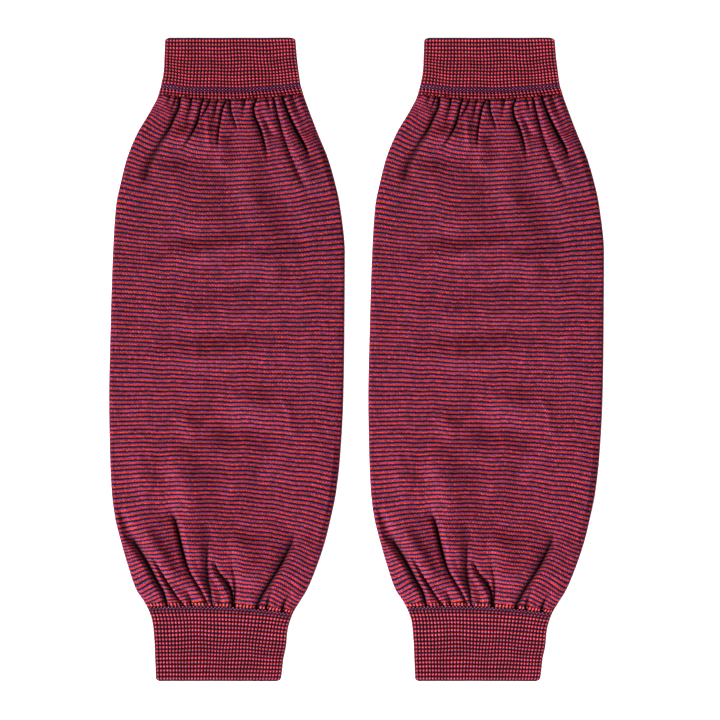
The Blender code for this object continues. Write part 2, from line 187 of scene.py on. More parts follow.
# Soft ridges and hollows beyond the creases: line, rise, and half-width on the left and
# on the right.
FOLD_COLUMNS = ("line", "rise", "width")
SOFT_FOLDS = named(FOLD_COLUMNS, (
    (((56, -27.5), (71.4, -37), (82.8, -44), (98, -50.5)), 2.2, (4.0, 4.0)),
    (((69, -23.3), (84, -28.0), (94, -30.5), (110, -35.0)), -1.6, (9.0, 2.4)),
    (((60, -14.0), (84, -18.5), (108, -21.5), (126, -26.0), (148, -32.0)), 3.5, (8.5, 14.0)),
    (((50, -6.0), (66, -9.5), (84, -11.0), (100, -12.5)), -1.3, (3.5, 4.5)),
    (((52, 0.5), (58, 0.6), (64, -0.5)), -1.2, (1.8, 1.8)),
    (((80, -53.0), (92, -59.5), (106, -64.5)), -1.8, (5.0, 3.0)),
    (((54, 11.0), (72, 10.5), (92, 8.5)), 2.8, (7.0, 9.0)),
    (((84, 33.0), (72, 26.0), (60, 20.0)), 1.3, (5.0, 3.0)),
    (((341, -11.1), (327.6, -11.1), (314, -10.2)), 1.2, (1.4, 2.4)),
    (((328, -3.4), (315.6, -2.7), (302, -1.3)), 1.7, (4.0, 5.0)),
    (((338.5, 22.9), (331.8, 24.6), (327, 28.5), (324.2, 34)), -1.4, (1.6, 1.6)),
    (((335, 35.5), (320, 42.0), (305, 49.0), (295, 54.5)), 0.9, (3.6, 5.0)),
    (((338, 11.0), (322, 13.0), (300, 15.5)), 1.0, (6.0, 5.0)),
    (((336, 56.0), (318, 62.0), (300, 66.5), (285, 69.0)), 1.1, (12.0, 5.0)),
    (((325, -40.0), (313, -45.5), (298, -50.0)), -1.5, (3.6, 3.0)),
    (((172, 33.4), (158, 37.4), (142, 39.8)), 0.7, (1.6, 4.0)),
    (((250, 68.0), (200, 69.0), (130, 66.5), (75, 56.0)), 0.5, (26.0, 8.0)),
    (((150, 68.0), (110, 63.5), (84, 57.5), (64, 50.0)), 1.0, (15.0, 7.0)),
))

# Small pleats between the main creases at each seam
PLEATS = {"count": 30, "least_reach": 2.5, "most_reach": 7.0, "depth": 1.1, "width": 0.6}
SEAM_BEADS = {"rise": 0.32, "reach": 2.4}  # the cloth's rib-wide bumps along a seam

# Soft hollows and rises of the body's front layer away from the gathers: x and
# station of the middle, half-length, half-width, direction in degrees from +X, rise.
WAVE_COLUMNS = ("x", "station", "half_length", "half_width", "angle", "rise")
SOFT_WAVES = named(WAVE_COLUMNS, (
    (-28.0, 313.0, 11.0, 5.0, 5.0, -1.5),
    (-24.0, 327.0, 13.0, 5.0, 8.0, 2.0),
    (-33.0, 293.0, 12.0, 7.0, 90.0, 0.9),
    (-24.0, 292.0, 18.0, 10.0, 88.0, 1.4),
    (2.0, 293.0, 14.0, 10.0, 90.0, -1.1),
    (15.0, 290.0, 21.0, 7.0, 110.0, 1.6),
    (36.0, 282.0, 18.0, 8.0, 110.0, -1.6),
    (-24.0, 267.0, 12.0, 5.5, 10.0, -1.6),
    (-6.0, 259.0, 26.0, 6.0, 14.0, 3.0),
    (22.0, 252.5, 14.0, 5.5, 16.0, 2.3),
    (10.0, 239.0, 26.0, 5.0, 15.0, -1.0),
    (29.0, 244.0, 8.0, 5.0, 70.0, 1.6),
    (-20.0, 222.0, 12.0, 4.0, 5.0, 0.6),
    (-10.0, 209.0, 24.0, 5.0, 4.0, -1.1),
    (-6.0, 195.5, 30.0, 6.5, 4.0, 1.7),
    (15.0, 167.0, 13.0, 5.5, -8.0, 1.8),
    (14.0, 151.0, 15.0, 7.0, -6.0, -1.6),
    (-23.0, 153.6, 8.0, 6.0, 105.0, 1.6),
    (0.0, 151.0, 10.0, 8.0, 90.0, -1.3),
    (1.0, 137.0, 27.0, 6.5, 0.0, 0.9),
    (7.0, 121.0, 13.0, 6.0, 55.0, 2.2),
    (19.5, 118.0, 14.0, 6.5, 58.0, -2.1),
    (-48.5, 123.0, 12.0, 8.0, 104.0, 1.2),
))

FINE_UNEVENNESS = (  # height, wavelength and seed of the front layer's slight unevenness
    (0.22, 26.0, 5),
    (0.07, 9.0, 6),
)

# Body knit
STRIPE_REPEATS = 121
ROWS_PER_REPEAT = 2
REPEAT_RELIEF = 0.16  # from the cloth's middle to a cord's top
WALES_ROUND = 168
BODY_CLOTH = 1.1
BODY_FRONT_COLUMNS = 262
BODY_SIDE_COLUMNS = 8
BODY_UNDER_COLUMNS = 46
BODY_UNDER_FROM = 2 * BODY_SIDE_COLUMNS + BODY_FRONT_COLUMNS  # the back layer's first column
GATHERED_ROWS = 38  # rows from a seam in which the lining follows the creases closely
LINING_STEPS = {"gathered": 2, "open": 16}  # the lining has one row for so many of the front's
LINING_ROOM = 1.75  # least height of the front layer's inside
FINE_ACROSS = 900
FINE_ALONG = 560
NEIGHBOUR_LINES = 7
LENGTH_DEPTH_SHARE = 0.3  # how much of a crease's depth lengthens a knit row's path
ROW_TURN = 0.75  # how nearly the rows cross the fanned-out cloth at right angles
RIDGE_SLIDE = 0.55  # how far the rows arch away from a seam over a ridge, for its height
ROWS_FREE = 26.0  # distance from a seam beyond which the mesh rows are the knit's rows
SEAM_LAP = 0.5  # how far the body's ends reach in under the cuffs' edges
SEAM_DROP = 0.9  # how far the body's ends fall there
# Painted shade: the body's colour is blended toward near black in the crease cuts, fully at this depth
PAINTED_SHADE_DEPTH = 2.6  # cut depth at which the cloth is folded out of the light

# Cuff knit
RIBS_ROUND = 84
COLUMNS_PER_RIB = 6
ROWS_PER_STITCH = 6
CUFF_CLOTH = 1.7
CUFF_ROOM = 0.3  # least height of the space inside a cuff
CUFF_FINE_ACROSS = 480
CUFF_SIDE_COLUMNS = 24
CUFF_SEAM_GAP = 0.1  # from the seam's line to the cuff's first row
GROOVE_DEPTH = 0.45
BEAD_RISE = 0.75
BEAD_LEAN = 0.3
BEAD_SIZES = {"red": 1.0, "dim": 0.8, "purple": 0.72}
BEAD_KINDS = {"red": 0.0, "dim": 0.5, "purple": 1.0}  # as the material reads them
SIDE_BEADS = 0.45  # share of the beads' relief that is left on the side folds
UNDER_BEADS = 0.6  # share of the grooves' depth that is left on the underside
RIM_HEIGHT = 0.8
RIM_STEPS = 4
RIM_REACH = 4.0  # distance from a mouth's corner in which its rim also turns sideways
MOUTH_CORNER = 2.0  # radius of a mouth's corners as seen from above
LINING_LINES = 9
LINING_START = 0.4  # from a mouth to its lining's first line

# Stitch rows of a cuff from its seam to its mouth: kind, height and how many
UPPER_ROWS = (
    ("red", 1.9, 2),
    ("purple", 1.5, 2),
    ("red", 1.85, 4),
    ("red", 2.15, 10),
)
WRIST_ROWS = (
    ("purple", 1.8, 1),
    ("dim", 2.0, 1),
    ("red", 2.34, 17),
)


def soft_step(t):
    t = np.clip(t, 0.0, 1.0)
    return t * t * (3 - 2 * t)


def smooth_curve(rows, column):
    """A curve through a table's points that never swings past them."""
    stations = np.array([row[0] for row in rows], float)
    values = np.array([row[column] for row in rows], float)
    step = np.diff(stations)
    rise = np.diff(values) / step
    slope = np.zeros(len(values))
    same_way = rise[:-1] * rise[1:] > 0
    before, after = 2 * step[1:] + step[:-1], step[1:] + 2 * step[:-1]
    with np.errstate(divide="ignore", invalid="ignore"):
        mean = (before + after) / (before / rise[:-1] + after / rise[1:])
    slope[1:-1] = np.where(same_way, mean, 0.0)
    slope[0], slope[-1] = rise[0], rise[-1]

    def value(at):
        at = np.clip(np.asarray(at, float), stations[0], stations[-1])
        i = np.clip(np.searchsorted(stations, at) - 1, 0, len(step) - 1)
        t = (at - stations[i]) / step[i]
        s = 1 - t
        return (
            values[i] * (1 + 2 * t) * s * s
            + values[i + 1] * (3 - 2 * t) * t * t
            + step[i] * t * s * (slope[i] * s - slope[i + 1] * t)
        )

    return value


left_edge = smooth_curve(OUTLINE, 1)
right_edge = smooth_curve(OUTLINE, 2)
crown_height = smooth_curve(CROWN, 1)


def middle_of(station):
    return (left_edge(station) + right_edge(station)) / 2


def half_front(station):
    return (right_edge(station) - left_edge(station)) / 2 - SIDE_RADIUS


def x_at(share, station):
    return middle_of(station) + share * half_front(station)


def share_at(x, station):
    return np.clip((x - middle_of(station)) / half_front(station), -1.0, 1.0)


def seam_station(seam, share):
    return seam["mid"] + seam["tilt"] * share + seam["bow"] * share**2


def fold_height(side, station):
    """Height of a side fold, for a side or a share whose sign says which."""
    flat = 2 * SIDE_RADIUS
    return flat + np.where(np.asarray(side) > 0, RIGHT_FULLNESS, 0.0) * (crown_height(station) - flat)


def pillow(share, station):
    """Height of the front layer without its creases and folds."""
    edge = fold_height(share, station)
    return edge + (crown_height(station) - edge) * (1 - np.abs(share) ** PILLOW_POWER)


def small_pleats(seam, inward, seed):
    """Short shallow creases spread unevenly along a seam."""
    chance = np.random.RandomState(seed)
    pleats = []
    for k in range(PLEATS["count"]):
        share = -0.95 + 1.9 * (k + chance.uniform(0.1, 0.9)) / PLEATS["count"]
        lean = chance.uniform(-0.12, 0.12) + 0.25 * share
        reach = chance.uniform(PLEATS["least_reach"], PLEATS["most_reach"])
        depth = PLEATS["depth"] * chance.uniform(0.5, 1.3)
        width = PLEATS["width"] * chance.uniform(0.8, 1.3)
        ridge = (0.15 * depth, 2 * width)
        station = float(seam_station(seam, share))
        x = float(x_at(share, station))
        line = tuple((station + inward * s, x + lean * s) for s in (-1.0, 0.5 * reach, reach))
        depths, widths = (depth, 0.6 * depth, 0.0), (width, 1.1 * width, 1.3 * width)
        pleats.append((line, 0.0, depths, widths, ridge, ridge))
    return named(CREASE_COLUMNS, pleats)


SEAMS = named(("seam", "inward", "press", "creases", "pleats"), (
    (WRIST_SEAM, 1, PRESSED["wrist"], WRIST_CREASES, small_pleats(WRIST_SEAM, 1, seed=3)),
    (UPPER_SEAM, -1, PRESSED["upper"], UPPER_CREASES, small_pleats(UPPER_SEAM, -1, seed=8)),
))


def line_distance(line, x, station):
    """How far along a line a point is, from 0 to 1, and how far to the right of it."""
    root, tip = line[0][0], line[-1][0]
    curve = smooth_curve(sorted(line), 1)
    slope = curve(station + 0.5) - curve(station - 0.5)
    return np.clip((station - root) / (tip - root), 0.0, 1.0), (x - curve(station)) / np.hypot(1, slope)


def three_way(values, t):
    return np.interp(t, (0.0, 0.5, 1.0), values)


def crease_relief(x, station, end, creases):
    """Rounded ridges and cuts of some creases at one end of the body."""
    share = (x - middle_of(station)) / half_front(station)
    away = end["inward"] * (station - seam_station(end["seam"], share))
    press = end["press"] + (1 - end["press"]) * soft_step(away / PRESS_REACH)
    cut = np.zeros(x.shape)
    ridges = np.zeros(x.shape)
    for crease in creases:
        t, aside = line_distance(crease["line"], x, station)
        fade = soft_step((1 - t) / CREASE_FADE)
        depth = fade * three_way(crease["depth"], t)
        cut = np.maximum(cut, depth * np.exp(-(np.abs(aside / three_way(crease["width"], t)) ** 1.5)))
        for side, mine in (("left", aside < 0), ("right", aside >= 0)):
            height, distance = crease[side]
            far = np.abs(aside) / distance
            rise = height * fade * (1 - 0.35 * t) * press * far * np.exp(1 - far)
            ridges = np.maximum(ridges, np.where(mine, rise, 0.0))
    return ridges, cut


def all_creases(x, station):
    """Ridges and cuts of both seams' creases and small pleats."""
    ridges = np.zeros(x.shape)
    cut = np.zeros(x.shape)
    for end in SEAMS:
        rise, fall = crease_relief(x, station, end, end["creases"])
        small_rise, small_fall = crease_relief(x, station, end, end["pleats"])
        ridges = ridges + rise + small_rise
        cut = np.maximum(cut, fall + 0.5 * small_fall)
    return ridges, cut


def gentle_slope(curve, station):
    """Slope of a curve of the outline, without its table's kinks."""
    return sum((curve(station + far) - curve(station - far)) / (2 * far) for far in (5.0, 11.0, 17.0)) / 3


def row_slide(x, station):
    """How far the knit rows lie from even spacing along the sleeve.

    Rows cross the fanned-out cloth at right angles to it, so toward the side folds they
    run away from the middle. They arch over the ridges, and each crease takes part of
    their length out of sight.
    """
    share = share_at(x, station)
    fan, drift = gentle_slope(half_front, station), gentle_slope(middle_of, station)
    slide = -ROW_TURN * half_front(station) * (drift * share + fan * share**2 / 2)
    slide = slide + RIDGE_SLIDE * all_creases(x, station)[0] * np.where(station < LENGTH / 2, 1, -1)
    for end in SEAMS:
        for crease in end["creases"]:
            t, aside = line_distance(crease["line"], x, station)
            outward = -1 if crease["line"][0][1] < 0 else 1
            beyond = 0.5 + 0.5 * np.tanh(outward * aside / three_way(crease["width"], t))
            slide = slide + end["inward"] * crease["jump"] * soft_step((1 - t) / 0.5) * beyond
    return slide


def mesh_row_share(x, station):
    """Share of the knit rows' slide that the mesh rows follow: none at the seams."""
    share = share_at(x, station)
    from_wrist = station - seam_station(WRIST_SEAM, share)
    from_upper = seam_station(UPPER_SEAM, share) - station
    return soft_step(np.minimum(from_wrist, from_upper) / ROWS_FREE)


def soft_fold_rise(x, station):
    total = np.zeros(x.shape)
    for fold in SOFT_FOLDS:
        t, aside = line_distance(fold["line"], x, station)
        ends = soft_step(t / 0.3) * soft_step((1 - t) / 0.35)
        width = np.where(aside < 0, fold["width"][0], fold["width"][1])
        total = total + fold["rise"] * ends * np.exp(-((aside / width) ** 2))
    return total


def wave_rise(x, station):
    total = np.zeros(np.broadcast(x, station).shape)
    for wave in SOFT_WAVES:
        turn = math.radians(wave["angle"])
        dx, dy = x - wave["x"], station - wave["station"]
        along = (dx * math.cos(turn) + dy * math.sin(turn)) / wave["half_length"]
        across = (dy * math.cos(turn) - dx * math.sin(turn)) / wave["half_width"]
        total = total + wave["rise"] * np.exp(-(along**2) - across**2)
    return total


def rib_number(share):
    """Rib of the cuffs that meets the front layer at a share across it."""
    return (share + 1) / 2 * RIBS_ROUND / 2


def seam_beads(share, station):
    """Rib-wide bumps along both seams, where the cloth is drawn into the cuffs."""
    total = np.zeros(np.broadcast(share, station).shape)
    for end in SEAMS:
        away = np.maximum(end["inward"] * (station - seam_station(end["seam"], share)), 0.0)
        total = total + np.exp(-((away / SEAM_BEADS["reach"]) ** 2))
    return SEAM_BEADS["rise"] * total * np.cos(2 * math.pi * rib_number(share))


def ripple(x, y, seed, wavelength, count=14):
    """Smooth seeded unevenness between about -1 and 1, of about one wavelength."""
    chance = np.random.RandomState(seed)
    total = np.zeros(np.broadcast(x, y).shape)
    for _ in range(count):
        turn = chance.uniform(0, 2 * math.pi)
        number = 2 * math.pi / (wavelength * chance.uniform(0.7, 1.6))
        phase = chance.uniform(0, 2 * math.pi)
        total = total + np.sin(number * (x * math.cos(turn) + y * math.sin(turn)) + phase)
    return total * 1.4 / count**0.5 / 1.6


def seam_tuck(share, station):
    """Fall of the cloth's end as it goes under a cuff's edge."""
    low = station - seam_station(WRIST_SEAM, share)
    high = seam_station(UPPER_SEAM, share) - station
    return SEAM_DROP * (1 - soft_step((np.minimum(low, high) + SEAM_LAP) / (2 * SEAM_LAP)))


def body_front(share, station):
    """Height of the body's front layer above the table, eased where it would sink."""
    x = x_at(share, station)
    inside = soft_step((1 - np.abs(share)) / SIDE_FADE)
    ridges, cut = all_creases(x, station)
    uneven = wave_rise(x, station) + soft_fold_rise(x, station)
    for height, wavelength, seed in FINE_UNEVENNESS:
        uneven = uneven + height * ripple(x, station, seed, wavelength)
    relief = ridges - cut + uneven + seam_beads(share, station)
    over = pillow(share, station) + inside * relief - LOWEST_FRONT
    height = np.where(over > 0.5, over, 0.5 * np.exp(np.minimum(over, 0.5) / 0.5 - 1))
    return LOWEST_FRONT + height - seam_tuck(share, station)


def body_under(share, station):
    """Height of the back layer's underside: flat, with shallow creases at the gathers."""
    x = x_at(-share, station)
    ridges, cut = all_creases(x, station)
    lift = np.clip(0.2 * (cut - ridges), 0.0, 0.55) + 0.5 * seam_tuck(share, station)
    return lift * soft_step((1 - np.abs(share)) / SIDE_FADE)


def arc(side, part):
    """Offsets from a side fold's centre: part runs from 0 below to 1 above."""
    angle = math.pi * (part - 0.5)
    return side * SIDE_RADIUS * np.maximum(np.cos(angle), 0.0) ** 0.6, SIDE_RADIUS * (1 + np.sin(angle))


def layer_points(stations, share, height):
    """Points of a front or a back layer, at some shares across it."""
    station = stations(share)
    return np.stack([x_at(share, station), station, height(share, station)], axis=2)


def tube_rings(stations, side_columns, front, under):
    """A tube's cross-sections: the left fold, the front layer, the right fold and the back layer."""
    part = np.linspace(0, 1, side_columns + 1)[None]
    sides = {}
    for side in (-1, 1):
        station = stations(np.full(part.shape, float(side)))
        dx, z = arc(side, part)
        z = z / (2 * SIDE_RADIUS) * fold_height(side, station)
        sides[side] = np.stack([x_at(side, station) + dx, station, z], axis=2)
    return np.concatenate([sides[-1][:, :-1], front, sides[1][:, ::-1][:, 1:], under], axis=1)


def even_along(points, count, axis, depth_share=1.0, mix_lines=0, slide=None):
    """Points resampled so that they are evenly spaced along the cloth on one axis.

    Each line of points takes the mean spacing of some neighbours on either side. A slide
    moves the points along it, but for the first and the last.
    """
    points = np.moveaxis(points, axis, 0)
    step = np.diff(points, axis=0) * np.array([1.0, 1.0, depth_share])
    start = np.zeros((1,) + points.shape[1:2])
    length = np.concatenate([start, np.cumsum(np.linalg.norm(step, axis=2), axis=0)])
    if mix_lines:
        shifts = range(-mix_lines, mix_lines + 1)
        length = sum(np.roll(length, shift, axis=1) for shift in shifts) / len(shifts)
    out = np.empty((count + 1,) + points.shape[1:])
    for line in range(points.shape[1]):
        at = np.linspace(0.0, length[-1, line], count + 1)
        if slide is not None:
            at[1:-1] = np.clip(at[1:-1] + slide[1:-1, line], 0.0, at[-1])
        for c in range(3):
            out[:, line, c] = np.interp(at, length[:, line], points[:, line, c])
    return np.moveaxis(out, 0, axis)


def column_widths(grid):
    """Mean width of each column of faces round a tube."""
    return np.linalg.norm(grid - np.roll(grid, -1, axis=1), axis=2).mean(0)


def grid_normals(points):
    """Normals of a tube's grid, outward where its rows run up the sleeve."""
    along = np.gradient(points, axis=0)
    around = np.roll(points, -1, axis=1) - np.roll(points, 1, axis=1)
    normal = np.cross(around, along)
    return normal / np.maximum(np.linalg.norm(normal, axis=2, keepdims=True), 1e-9)


def lowest_near(height, rows, columns):
    """Each value's lowest neighbour within some rows and columns, round the tube."""
    out = height.copy()
    for shift in range(1, columns + 1):
        out = np.minimum(out, np.minimum(np.roll(height, shift, 1), np.roll(height, -shift, 1)))
    base = out.copy()
    for shift in range(1, rows + 1):
        out[shift:] = np.minimum(out[shift:], base[:-shift])
        out[:-shift] = np.minimum(out[:-shift], base[shift:])
    return out


def round_corners(outer, inner, start, end):
    """Values at the corners of all faces of a tube, from the values on its rings.

    The outer and inner faces lie between neighbouring rings, and start and end are the
    pairs of rings that the faces at the two ends lie between.
    """
    parts = []
    for low, high in ((outer[:-1], outer[1:]), (inner[1:], inner[:-1]), start, end):
        corners = [low, np.roll(low, -1, axis=-1), np.roll(high, -1, axis=-1), high]
        parts.append(np.stack(corners, axis=-1).reshape(-1, 4))
    return np.concatenate(parts)


def across_corners(left, right, bands):
    """Values across at the corners of some bands of faces, the same in each band."""
    return np.tile(np.stack([left, right, right, left], axis=1), (bands, 1))


class Tube:
    """A cloth tube's mesh: an outer grid, an inner grid and the two edges between.

    The knit map counts wales across and rows along. The bake map has no overlaps, and the
    outside takes nearly all of it.
    """

    def __init__(self, outer, inner, knit_u, knit_v, bake_u, attributes):
        self.outer, self.inner = outer, inner
        self.knit_u, self.knit_v, self.bake_u = knit_u, knit_v, bake_u
        self.attributes = attributes
        self.inner_bands = len(inner) + 1

    def faces(self):
        count = self.outer.shape[0] * self.outer.shape[1]
        outer = np.arange(count).reshape(self.outer.shape[:2])
        inner = np.arange(self.inner.shape[0] * self.inner.shape[1]).reshape(self.inner.shape[:2]) + count
        return round_corners(outer, inner, (inner[0], outer[0]), (outer[-1], inner[-1]))

    def knit_map(self):
        outer, inner = self.knit_v
        along = round_corners(outer, inner, (outer[0], outer[0]), (outer[-1], outer[-1]))
        bands = len(outer) - 1 + self.inner_bands
        across = across_corners(self.knit_u[:-1], self.knit_u[1:], bands)
        return np.stack([across, along], axis=2)

    def bake_map(self):
        columns = self.outer.shape[1]
        outer = np.linspace(0.002, 0.998, len(self.outer))[:, None].repeat(columns, 1)
        inner = np.linspace(0.01, 0.99, len(self.inner))[:, None].repeat(columns, 1)
        edges = [np.full(columns, at) for at in (0.0, 0.006, 0.994, 1.0)]
        along = round_corners(outer, inner, edges[:2], edges[2:])
        strip = np.linspace(0.984, 0.999, columns + 1)
        across = [
            across_corners(self.bake_u[:, 0], self.bake_u[:, 1], len(outer) - 1),
            across_corners(strip[:-1], strip[1:], self.inner_bands),
        ]
        return np.stack([np.concatenate(across), along], axis=2)

    def mesh(self, name):
        points = np.concatenate([self.outer.reshape(-1, 3), self.inner.reshape(-1, 3)])
        faces = self.faces()
        mesh = bpy.data.meshes.new(name)
        mesh.from_pydata((points * MM).tolist(), [], faces.tolist())
        mesh.polygons.foreach_set("use_smooth", np.ones(len(faces), bool))
        for label, corners in (("Knit", self.knit_map()), ("OFBake", self.bake_map())):
            layer = mesh.uv_layers.new(name=label)
            layer.data.foreach_set("uv", corners.astype(np.float32).ravel())
        for label, values in self.attributes.items():
            values = np.concatenate([values.ravel(), np.zeros(self.inner.shape[0] * self.inner.shape[1])])
            layer = mesh.attributes.new(label, "FLOAT", "POINT")
            layer.data.foreach_set("value", values.astype(np.float32))
        mesh.update()
        return mesh


def bake_columns(lengths, on_top):
    """Where each column of faces goes across the bake map, the top before the under part."""
    out = np.empty((len(lengths), 2))
    for part, low, high in ((on_top, 0.002, 0.600), (~on_top, 0.604, 0.980)):
        edges = np.concatenate([[0.0], np.cumsum(lengths[part])])
        edges = low + (high - low) * edges / edges[-1]
        out[part, 0], out[part, 1] = edges[:-1], edges[1:]
    return out


def body_outer():
    """The body's outer grid before the yarn's relief, and the stripe repeat at each point."""
    between = np.linspace(0, 1, FINE_ALONG + 1)[:, None]

    def stations(share):
        low = seam_station(WRIST_SEAM, share) - SEAM_LAP
        high = seam_station(UPPER_SEAM, share) + SEAM_LAP
        return low + (high - low) * between

    front = layer_points(stations, np.linspace(-1, 1, FINE_ACROSS + 1)[None], body_front)
    front = even_along(front, BODY_FRONT_COLUMNS, 1)
    under = layer_points(stations, np.linspace(1, -1, BODY_UNDER_COLUMNS + 1)[None, 1:-1], body_under)
    grid = tube_rings(stations, BODY_SIDE_COLUMNS, front, under)
    rows = STRIPE_REPEATS * ROWS_PER_REPEAT
    even = even_along(grid, rows, 0, LENGTH_DEPTH_SHARE, NEIGHBOUR_LINES)
    x, station = even[..., 0], even[..., 1]
    x = np.where(np.arange(x.shape[1]) < BODY_UNDER_FROM, x, 2 * middle_of(station) - x)
    slide, share = row_slide(x, station), mesh_row_share(x, station)
    outer = even_along(grid, rows, 0, LENGTH_DEPTH_SHARE, NEIGHBOUR_LINES, slide * share)
    height = (UPPER_SEAM["mid"] - WRIST_SEAM["mid"]) / STRIPE_REPEATS
    repeats = np.arange(rows + 1)[:, None] / ROWS_PER_REPEAT - slide * (1 - share) / height
    return outer, repeats


def body_surface(outer, repeats, on_top):
    """The outer grid with a cord raised along each stripe and a slight waver in the rows."""
    rows = len(outer)
    normal = grid_normals(outer)
    x, y = outer[..., 0], outer[..., 1]
    amount = np.where(on_top, 0.35 + 0.65 * np.clip(normal[..., 2], 0.0, 1.0), 0.0)
    relief = -REPEAT_RELIEF * np.cos(2 * math.pi * repeats) * amount * (1 + 0.25 * ripple(x, y, 11, 7.0))
    surface = outer + normal * relief[..., None]
    waver = 0.3 * ripple(x, y, 21, 38.0) + 0.05 * ripple(x, y, 22, 10.0)
    surface[..., 1] += waver * np.sin(np.pi * np.arange(rows) / (rows - 1))[:, None] * on_top
    surface[..., 2] = np.maximum(surface[..., 2], 0.0)
    return surface


def body_lining(surface, front):
    """The body's plain inside, and which rows it has: more of them at the gathers."""
    last = len(surface) - 1
    row = np.arange(last + 1)
    from_end = np.minimum(row, last - row)
    step = np.where(from_end < GATHERED_ROWS, LINING_STEPS["gathered"], LINING_STEPS["open"])
    kept = np.where((row % step == 0) | (row == last))[0]
    lining = surface[kept].copy()
    near, wide = (lowest_near(surface[..., 2], reach, 2)[kept] for reach in (2, 9))
    lowest = np.where((from_end[kept] < GATHERED_ROWS - 3)[:, None], near, wide)
    lining[:, front, 2] = np.maximum(lowest[:, front] - BODY_CLOTH, LINING_ROOM)
    lining[:, BODY_UNDER_FROM:, 2] += BODY_CLOTH
    part = np.linspace(0, 1, BODY_SIDE_COLUMNS + 1)[:-1]
    share_in = (SIDE_RADIUS - BODY_CLOTH) / SIDE_RADIUS
    for side, first in ((-1, 0), (1, BODY_SIDE_COLUMNS + BODY_FRONT_COLUMNS + 1)):
        dx, z = arc(side, part[::-side])
        place = slice(first, first + BODY_SIDE_COLUMNS)
        lining[:, place, 0] -= dx * (1 - share_in)
        lining[:, place, 2] = SIDE_RADIUS + (z - SIDE_RADIUS) * share_in
    return lining, kept


def body_tube():
    """The body's mesh. Its attributes place the wrist seam's dots and the creases' painted shade."""
    outer, repeats = body_outer()
    rows, columns = outer.shape[:2]
    ring = np.arange(columns)
    on_top = ring < BODY_UNDER_FROM
    front = (ring >= BODY_SIDE_COLUMNS) & (ring <= BODY_SIDE_COLUMNS + BODY_FRONT_COLUMNS)
    surface = body_surface(outer, repeats, on_top)
    lining, kept = body_lining(surface, front)
    widths = column_widths(outer)
    wales = np.concatenate([[0.0], np.cumsum(widths)]) / widths.sum() * WALES_ROUND
    x, y = outer[..., 0], outer[..., 1]
    attributes = {
        "past_wrist": (np.arange(rows) / ROWS_PER_REPEAT)[:, None].repeat(columns, 1),
        "rib": np.where(front, rib_number(share_at(x, y)), wales[:-1] / 2),
        "painted_crease_shade": np.where(on_top, np.clip(all_creases(x, y)[1] / PAINTED_SHADE_DEPTH, 0.0, 1.0) ** 1.5, 0.0),
    }
    return Tube(surface, lining, wales, (repeats, repeats[kept]), bake_columns(widths, on_top), attributes)


def cuff_lines(table):
    """A cuff's mesh lines from its seam on: kind, distance, place in its stitch, knit row."""
    lines, start, number = [], 0.0, 0
    for kind, height, count in table:
        for _ in range(count):
            for k in range(ROWS_PER_STITCH):
                part = k / ROWS_PER_STITCH
                lines.append((kind, start + height * k / ROWS_PER_STITCH, part, number + part))
            start += height
            number += 1
    return lines + [(kind, start, 1.0, number)]


def bead_height(across, up, kind):
    """Relief of one stitch: across from -0.5 to 0.5 over a rib, up from 0 to 1."""
    leaning = across + BEAD_LEAN * (up - 0.5) * 0.6
    ridge = np.cos(np.pi * np.clip(leaning, -0.5, 0.5)) ** 1.3
    bead = np.clip(1 - ((up - 0.5) / 0.52) ** 2, 0.0, 1.0) ** 0.7
    return -GROOVE_DEPTH + BEAD_RISE * BEAD_SIZES[kind] * ridge * (0.30 + 0.70 * bead)


def cuff_surface(grid, normal, kinds, parts, from_seam):
    """The cuff's grid with its ribs and beads raised and a slight waver in the rows."""
    across = (np.arange(grid.shape[1]) % COLUMNS_PER_RIB) / COLUMNS_PER_RIB - 0.5
    relief = np.stack([bead_height(across, part, kind) for part, kind in zip(parts, kinds)])
    x, y = grid[..., 0], grid[..., 1]
    relief = relief * (1 + 0.12 * ripple(x, y, 31, 3.0))
    relief = np.where(normal[..., 2] < -0.6, np.minimum(relief, 0.0) * UNDER_BEADS, relief)
    relief = relief * (SIDE_BEADS + (1 - SIDE_BEADS) * np.abs(normal[..., 2]))
    surface = grid + normal * relief[..., None]
    waver = np.sin(np.pi * from_seam)
    surface[..., 0] += 0.35 * waver * ripple(x, y, 42, 24.0)
    surface[..., 1] += 0.55 * waver * ripple(x, y, 41, 30.0)
    surface[..., 2] = np.maximum(surface[..., 2], 0.0)
    return surface


def cuff_rim(edge, base, centre, inward):
    """Lines that turn from the outside's edge over the mouth's rim to the cloth's inner face."""
    inside = base.copy()
    thinner = np.where(base[:, 2] > SIDE_RADIUS, -CUFF_CLOTH, CUFF_CLOTH)
    inside[:, 2] = np.maximum(base[:, 2] + thinner, CUFF_CLOTH)
    reach = np.abs(base[:, 0] - centre)
    near_side = np.clip(1 - (reach.max() - reach) / RIM_REACH, 0, 1)
    inside[:, 0] += np.sign(centre - base[:, 0]) * near_side * CUFF_CLOTH
    lines = []
    for k in range(1, RIM_STEPS + 1):
        turn = 0.5 * math.pi * k / RIM_STEPS
        blend = 1 - math.cos(turn)
        line = edge * (1 - blend) + inside * blend
        line[:, 1] = edge[:, 1] - inward * RIM_HEIGHT * math.sin(turn)
        lines.append(line)
    return np.array(lines)


def cuff_lining(lining):
    """Some lines of the cuff's grid, moved in by the cloth's thickness."""
    x, z = lining[..., 0].copy(), lining[..., 2].copy()
    right, left = x.max(axis=1, keepdims=True), x.min(axis=1, keepdims=True)
    middle, half = (right + left) / 2, (right - left) / 2
    lining[..., 0] = middle + (x - middle) * (half - CUFF_CLOTH) / half
    roof = np.maximum(z - CUFF_CLOTH, CUFF_CLOTH + CUFF_ROOM)
    lining[..., 2] = np.where(z > SIDE_RADIUS, roof, CUFF_CLOTH)
    return lining


